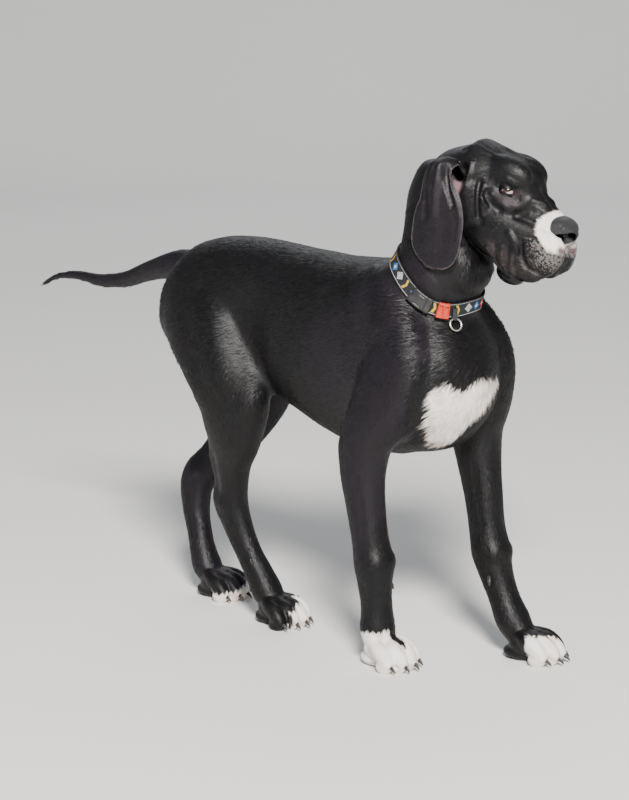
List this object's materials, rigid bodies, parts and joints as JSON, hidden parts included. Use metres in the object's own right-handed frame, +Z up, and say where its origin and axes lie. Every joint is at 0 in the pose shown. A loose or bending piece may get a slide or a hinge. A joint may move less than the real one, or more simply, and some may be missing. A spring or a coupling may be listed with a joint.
{
  "type": "great dane",
  "caption": "Life-size standing dog with hanging ears and a level tail, wearing a webbing collar; a still model that rests on its four paws.",
  "frame": {"origin": "middle of the underside of the bounding box, on the floor", "axes": "+X the way the dog faces, +Y its left side, +Z up"},
  "size_m": [1.3146, 0.3052, 0.9194],
  "materials": {
    "coat": "short glossy black hair, with white toes, chest patch and muzzle",
    "nose_leather": "moist dark nose leather",
    "eye": "wet dark brown eye",
    "webbing": "woven webbing with a printed pattern",
    "black_plastic": "moulded",
    "orange_plastic": "moulded",
    "ring_steel": "plated steel"
  },
  "bodies": {
    "root": {"collar_buckle": "black_plastic", "collar_loop": "webbing", "collar_ring": "ring_steel", "collar_slider": "orange_plastic", "collar_strap": "webbing", "ear_left": "coat", "ear_right": "coat", "eye_left": "eye", "eye_right": "eye", "fore_leg_left": "coat", "fore_leg_right": "coat", "fore_paw_left": "coat", "fore_paw_right": "coat", "head": "coat", "hind_leg_left": "coat", "hind_leg_right": "coat", "hind_paw_left": "coat", "hind_paw_right": "coat", "neck": "coat", "nose": "nose_leather", "tail": "coat", "torso": "coat"}
  },
  "joints": []
}
